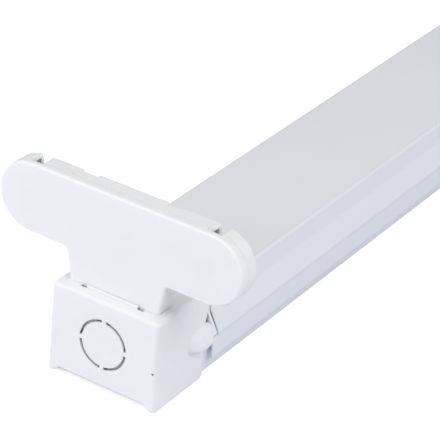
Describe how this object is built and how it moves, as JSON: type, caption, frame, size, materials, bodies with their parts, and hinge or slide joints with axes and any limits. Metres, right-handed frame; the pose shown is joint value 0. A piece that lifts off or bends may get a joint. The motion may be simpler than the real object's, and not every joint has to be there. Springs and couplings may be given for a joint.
{
  "type": "led tube light fixture",
  "caption": "Surface-mounted batten for T8 tubes, with a sheet-steel tray and lift-off cover, moulded end caps and T-shaped lampholders with turning rotors.",
  "frame": {"origin": "centre of the ceiling face, with the batten lying on its back as in the picture", "axes": "+Z away from the ceiling towards the lamps, +Y along the length away from the pictured end, +X across"},
  "size_m": [0.108, 0.6214, 0.0804],
  "materials": {
    "tray_steel": "white powder coat on folded sheet steel",
    "cover_steel": "white powder coat on folded sheet steel",
    "cap_plastic": "white moulded polycarbonate blend, satin",
    "holder_plastic": "white moulded polycarbonate, half gloss",
    "rotor_plastic": "white moulded polyester, half gloss",
    "contact_bronze": "bare phosphor bronze strip",
    "block_nylon": "natural moulded nylon",
    "sleeve_brass": "bare turned brass",
    "zinc_steel": "zinc-plated steel",
    "lug_copper": "tinned copper",
    "wire_green": "green and yellow PVC insulation",
    "wire_brown": "brown PVC insulation",
    "wire_blue": "blue PVC insulation",
    "grommet_rubber": "black moulded rubber"
  },
  "bodies": {
    "fitting_body": {"base_tray": "tray_steel", "end_cap_near": "cap_plastic", "end_cap_far": "cap_plastic", "holder_front_shell_near": "holder_plastic", "holder_front_shell_far": "holder_plastic", "holder_back_shell_near": "holder_plastic", "holder_back_shell_far": "holder_plastic", "contact_inner_near": "contact_bronze", "contact_inner_far": "contact_bronze", "contact_outer_near": "contact_bronze", "contact_outer_far": "contact_bronze", "terminal_block": "block_nylon", "terminal_sleeves": "sleeve_brass", "terminal_screws": "zinc_steel", "terminal_fixing_screw": "zinc_steel", "earth_screw": "zinc_steel", "earth_lug": "lug_copper", "earth_wire": "wire_green", "live_wire": "wire_brown", "neutral_wire": "wire_blue", "cable_grommet": "grommet_rubber"},
    "cover_body": {"cover_top": "cover_steel", "cover_flank_left": "cover_steel", "cover_flank_right": "cover_steel"},
    "rotor_near_left_body": {"rotor_near_left": "rotor_plastic"},
    "rotor_near_right_body": {"rotor_near_right": "rotor_plastic"},
    "rotor_far_left_body": {"rotor_far_left": "rotor_plastic"},
    "rotor_far_right_body": {"rotor_far_right": "rotor_plastic"}
  },
  "joints": [
    {"name": "cover_lift", "type": "slide", "parent": "fitting_body", "child": "cover_body", "axis": [0, 0, 1], "range_m": [0, 0.09]},
    {"name": "rotor_near_left_turn", "type": "hinge", "parent": "fitting_body", "child": "rotor_near_left_body", "pos_m": [-0.0395, -0.2955, 0.0659], "axis": [0, 1, 0], "range_deg": [-90, 90]},
    {"name": "rotor_near_right_turn", "type": "hinge", "parent": "fitting_body", "child": "rotor_near_right_body", "pos_m": [0.0395, -0.2955, 0.0659], "axis": [0, 1, 0], "range_deg": [-90, 90]},
    {"name": "rotor_far_left_turn", "type": "hinge", "parent": "fitting_body", "child": "rotor_far_left_body", "pos_m": [-0.0395, 0.2955, 0.0659], "axis": [0, 1, 0], "range_deg": [-90, 90]},
    {"name": "rotor_far_right_turn", "type": "hinge", "parent": "fitting_body", "child": "rotor_far_right_body", "pos_m": [0.0395, 0.2955, 0.0659], "axis": [0, 1, 0], "range_deg": [-90, 90]}
  ]
}
